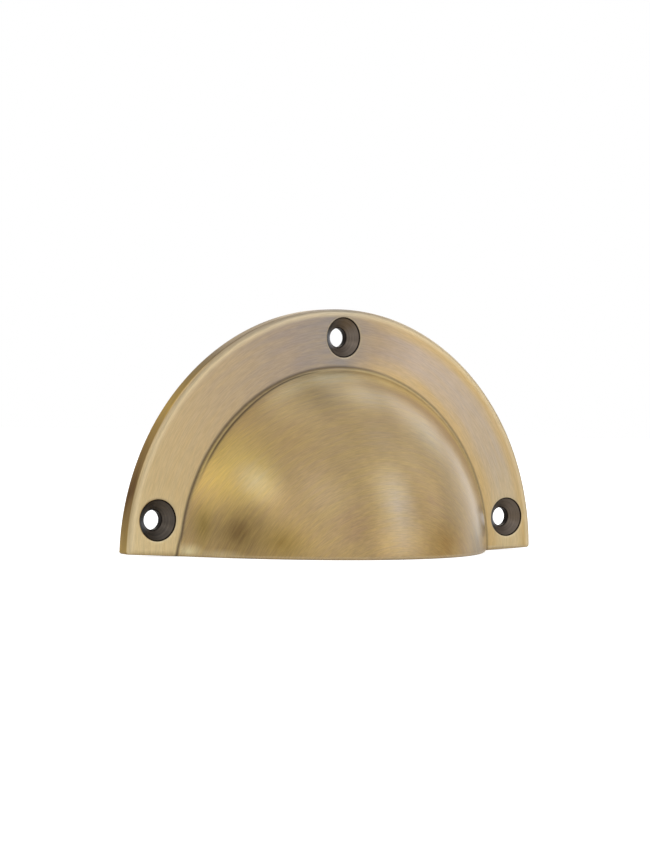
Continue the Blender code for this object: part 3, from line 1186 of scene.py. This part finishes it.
def make_world():
    world = bpy.data.worlds.new("studio")
    bpy.context.scene.world = world
    world.use_nodes = True
    tree = world.node_tree
    dim = tree.nodes["Background"]
    feed(tree, dim.inputs["Color"], (1, 1, 1, 1))
    feed(tree, dim.inputs["Strength"], SURROUND_LIGHT)
    white = add_node(tree, "ShaderNodeBackground", Color=(1, 1, 1, 1), Strength=1.0)
    camera_ray = add_node(tree, "ShaderNodeLightPath").outputs["Is Camera Ray"]
    seen = add_node(tree, "ShaderNodeMixShader", Fac=camera_ray)
    feed(tree, seen.inputs[1], dim.outputs["Background"])
    feed(tree, seen.inputs[2], white.outputs["Background"])
    feed(tree, tree.nodes["World Output"].inputs["Surface"], seen.outputs["Shader"])


make_world()
bpy.context.scene.view_settings.view_transform = "Standard"

# %% [markdown]
# A soft box is an area light. Its brightness as the metal mirrors it is what matters here, so
# the helper takes that and works out the watts from the box's area. Azimuth is measured round
# the pull from straight in front of it, positive towards its right side. The photograph
# doesn't show its studio, so the strengths were found the other way round: the pull was lit
# by one box at a time, and each box got the share that brings the shine nearest to the
# photograph. A cool or warm tint does the same for the shine's colour.

# %% A soft box
LIGHT_DISTANCE = 1.2


def softbox(name, azimuth, elevation, width, height, brightness, tint):
    az, el = radians(azimuth), radians(elevation)
    direction = Vector((sin(az) * cos(el), -cos(az) * cos(el), sin(el)))
    data = bpy.data.lights.new(name, "AREA")
    data.shape = "RECTANGLE"
    data.size = width
    data.size_y = height
    data.color = tint
    data.energy = brightness * pi * width * height
    light = bpy.data.objects.new(name, data)
    bpy.context.scene.collection.objects.link(light)
    centre = Vector((0, 0, PLATE_RADIUS / 2))
    light.matrix_world = Matrix.LocRotScale(
        centre + direction * LIGHT_DISTANCE, direction.to_track_quat("Z", "Y"), None
    )
    light.visible_camera = False


# %% All the soft boxes: azimuth, elevation, width, height, brightness and tint
WHITE = (1, 1, 1)
COOL = (0.88, 0.98, 1.16)
WARM = (1.08, 1.0, 0.82)
SOFTBOXES = (
    (-135, 5, 0.40, 0.30, 0.36, WHITE),
    (-115, 60, 0.46, 0.46, 0.95, WARM),
    (-85, 2, 0.30, 0.12, 0.56, WARM),
    (-82, 32, 0.46, 0.46, 0.62, WARM),
    (-62, 46, 0.25, 0.25, 0.42, COOL),
    (-47, 33, 0.25, 0.25, 1.53, WHITE),
    (-30, 12, 0.20, 0.30, 0.58, WARM),
    (-25, 60, 0.46, 0.46, 0.21, WHITE),
    (-11, 8, 0.46, 0.46, 0.29, WHITE),
    (-10, 32, 0.46, 0.46, 0.43, COOL),
    (14, 32, 0.46, 0.46, 0.11, COOL),
    (20, 60, 0.46, 0.46, 0.17, COOL),
    (22, 4, 0.15, 0.30, 1.29, WARM),
    (34, 4, 0.15, 0.30, 1.42, WHITE),
    (34, 20, 0.12, 0.40, 0.60, COOL),
    (46, 4, 0.15, 0.30, 0.89, WHITE),
    (38, 32, 0.46, 0.46, 0.74, COOL),
    (68, 20, 0.22, 0.30, 0.88, WHITE),
    (68, 36, 0.22, 0.30, 0.56, COOL),
    (99, 8, 0.46, 0.46, 0.21, WHITE),
    (121, 8, 0.46, 0.46, 1.18, COOL),
    (110, 32, 0.46, 0.46, 0.87, COOL),
    (110, 60, 0.46, 0.46, 0.81, COOL),
    (140, 25, 0.46, 0.46, 0.78, WARM),
    (158, 32, 0.46, 0.46, 0.93, WARM),
    (0, 88, 0.46, 0.46, 0.42, COOL),
)
for azimuth, elevation, *shape_and_light in SOFTBOXES:
    softbox(f"softbox_{azimuth}_{elevation}", azimuth, elevation, *shape_and_light)
print(len(SOFTBOXES), "soft boxes")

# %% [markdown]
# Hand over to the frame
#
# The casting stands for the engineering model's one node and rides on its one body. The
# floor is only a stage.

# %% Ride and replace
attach(pull, "root")
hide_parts("cup_pull")
